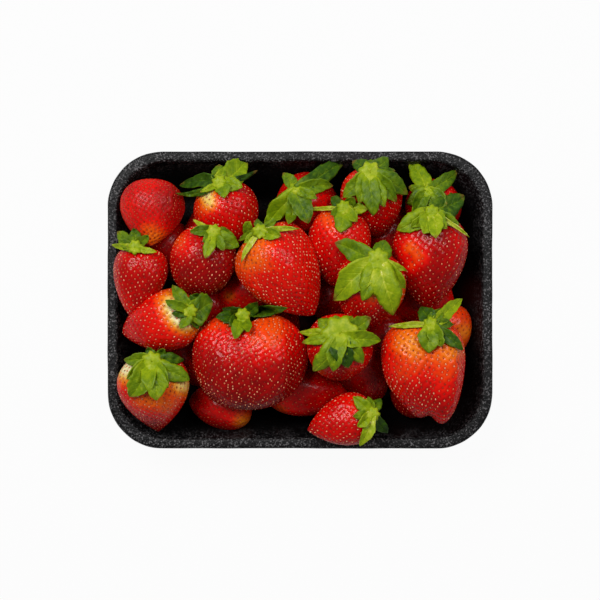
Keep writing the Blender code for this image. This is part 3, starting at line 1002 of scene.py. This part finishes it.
def foamFinish():
    # black expanded foam: crumbly cells with pale flecks on the rim and outside, smoother inside, and
    # painted shade deep inside the tray, where the flecks fade to near black
    look = foamLook
    foam = Finish("blackFoam", {"Specular IOR Level": 0.2})
    inside = foam.mark("inside")
    # painted shade deep inside the tray: the flecks fade and the colour goes to near black towards the floor
    paintedShade = inside * ((look["shadeFrom"] - foam.mark("rise")) * 2.6).bound()
    grain = foam.noise(look["grainSize"], 0.6)
    patchy = foam.noise(look["patchSize"])
    fleck = ((grain + patchy * 0.25 - look["fleckLeast"]) * 12).bound()
    speckled = foam.blend(fleck * (1 - paintedShade * 0.9), linear(look["dark"]), linear(look["fleck"]))
    colour = foam.blend(paintedShade * 0.8, speckled, linear(look["inner"]))
    relief = foam.cells(look["cellSize"]) * (1 - inside * 0.7) + grain * 0.8
    roughness = grain * look["roughGrain"] - inside * look["roughInside"] + look["roughness"]
    bump = foam.bump(relief, look["bumpDepth"], look["bumpStrength"])
    return foam.cover(Base_Color=colour, Roughness=roughness, Normal=bump)


def coreFinish():
    # painted shade: near-black red for what shows of the core between the fruit, standing in for fruit deep
    # in the heap's shadow
    core = Finish("shadedFruit", {"Specular IOR Level": 0.1, "Roughness": 0.7})
    return core.cover(Base_Color=core.ramp(core.noise(8) + 0.5, [(0.3, (22, 3, 3)), (0.7, (40, 5, 4))]))


studio = {
    "viewWidth": 279.8,  # what the camera spans at the height of the rim
    "viewHeight": 750,  # of the camera over the rim
    "sensor": 36,
    "ambient": 0.22,  # the world's strength as light
    "lampSize": 0.55,  # this and the places below are in metres, the powers in watts
    "aim": (0, 0, 0.03),
    "lamps": {"mainLeft": ((-0.45, 0.45, 0.95), 9.6), "mainRight": ((0.5, 0.35, 0.95), 5.0)},
    "floorHalf": 3.0, "floorGap": 0.0002,
    "floorGrey": 0.5, "floorGlow": 0.95,  # share of plain white that the camera sees in the floor
}


def makeLamp(name, place, power):
    # a round soft lamp turned to face the aim
    lamp = bpy.data.lights.new(name, "AREA")
    lamp.shape = "DISK"
    lamp.size = studio["lampSize"]
    lamp.energy = power
    holder = bpy.data.objects.new(name, lamp)
    bpy.context.scene.collection.objects.link(holder)
    away = np.array(place, float) - np.array(studio["aim"], float)
    flat = math.hypot(away[0], away[1])
    holder.location = place
    holder.rotation_euler = (math.atan2(flat, away[2]), 0.0, math.atan2(away[0], -away[1]))


def makeCamera(scene):
    # straight overhead, and wide enough for the view's width at the rim
    camera = bpy.data.cameras.new("overhead")
    camera.sensor_width = studio["sensor"]
    camera.lens = studio["sensor"] * studio["viewHeight"] / studio["viewWidth"]
    camera.clip_start = 0.01
    eye = bpy.data.objects.new("overhead", camera)
    eye.location = (0, 0, (trayForm["height"] + studio["viewHeight"]) * mm)
    scene.collection.objects.link(eye)
    scene.camera = eye


def makeFloor(scene):
    # grey to the light, near white to the camera, and it still takes a little of the tray's shadow
    grey = studio["floorGrey"]
    pale = Finish("paleFloor", {
        "Base Color": (grey, grey, grey, 1),
        "Roughness": 0.9,
        "Specular IOR Level": 0.1,
    })
    plain = Wire(pale, pale.shader.outputs[0])
    glow = pale.add("ShaderNodeEmission", {}, {"Color": (1, 1, 1, 1), "Strength": 1.0})
    share = pale.cameraRay() * studio["floorGlow"]
    mixed = pale.add("ShaderNodeMixShader", {}, {0: share, 1: plain, 2: glow})
    pale.feed(pale.tree.nodes["Material Output"].inputs["Surface"], mixed)
    half = studio["floorHalf"]
    corners = [(-half, -half, 0), (half, -half, 0), (half, half, 0), (-half, half, 0)]
    mesh = bpy.data.meshes.new("floor")
    mesh.from_pydata(corners, [], [(0, 1, 2, 3)])
    mesh.materials.append(pale.material)
    floor = bpy.data.objects.new("floor", mesh)
    floor.location = (0, 0, -studio["floorGap"])
    scene.collection.objects.link(floor)


def makeWorld(scene):
    # white to the camera and dimmer as light
    world = bpy.data.worlds.new("studio")
    scene.world = world
    world.use_nodes = True
    sky = NodeSet(world.node_tree)
    strength = sky.add("ShaderNodeMix", {}, {0: sky.cameraRay(), 2: studio["ambient"], 3: 1.0})
    background = sky.tree.nodes["Background"]
    sky.feed(background.inputs["Color"], (1, 1, 1, 1))
    sky.feed(background.inputs["Strength"], strength)


def makeStudio():
    scene = bpy.context.scene
    scene.view_settings.view_transform = "Standard"
    makeCamera(scene)
    makeFloor(scene)
    makeWorld(scene)
    for name, (place, power) in studio["lamps"].items():
        makeLamp(name, place, power)


def build():
    skin = skinFinish()
    grown = [makeBerry(name, berry, skin, order) for order, (name, berry) in enumerate(berries.items())]
    print("berries:", len(grown))
    makeSeeds(grown, seedFinish())
    heightAt = heapTop(grown)
    green = leafFinish()
    for order, (name, crown) in enumerate(crowns.items()):
        makeCrown(name, crown, heightAt, green, order)
    print("crowns:", len(crowns))
    makeTray(foamFinish())
    makeCore(coreFinish())
    makeStudio()
    print("tray, core and studio done")


build()
